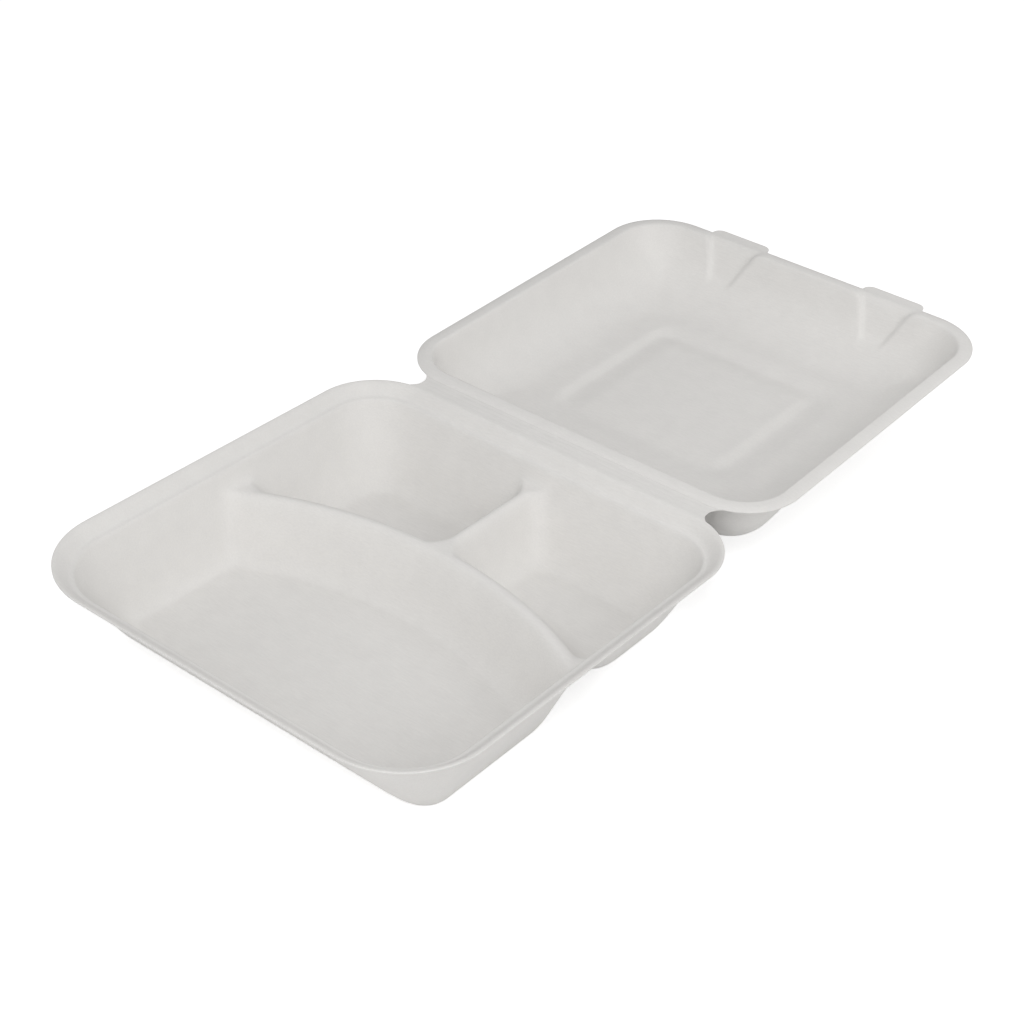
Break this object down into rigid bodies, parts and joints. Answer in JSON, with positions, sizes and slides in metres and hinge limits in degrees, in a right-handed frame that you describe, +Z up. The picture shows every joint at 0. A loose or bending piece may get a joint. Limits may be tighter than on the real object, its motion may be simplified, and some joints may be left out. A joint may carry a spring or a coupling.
{
  "type": "food container",
  "caption": "Open hinged food container of moulded plant fibre: a deep base divided into compartments and a shallower lid with a square frame channel and finger tabs.",
  "frame": {"origin": "bottom centre of the open container, on the surface it stands on", "axes": "+X along the hinge, to the right seen from the base's front; +Y from the base to the opened lid; +Z up"},
  "size_m": [0.23, 0.468, 0.0562],
  "materials": {
    "fibre": "matte moulded plant fibre, off-white"
  },
  "bodies": {
    "base": {"base_tray": "fibre"},
    "lid": {"lid": "fibre"}
  },
  "joints": [
    {"name": "lid_fold", "type": "hinge", "parent": "base", "child": "lid", "pos_m": [0, 0.00017, 0.0461], "axis": [1, 0, 0], "range_deg": [-2, 177.4]}
  ]
}
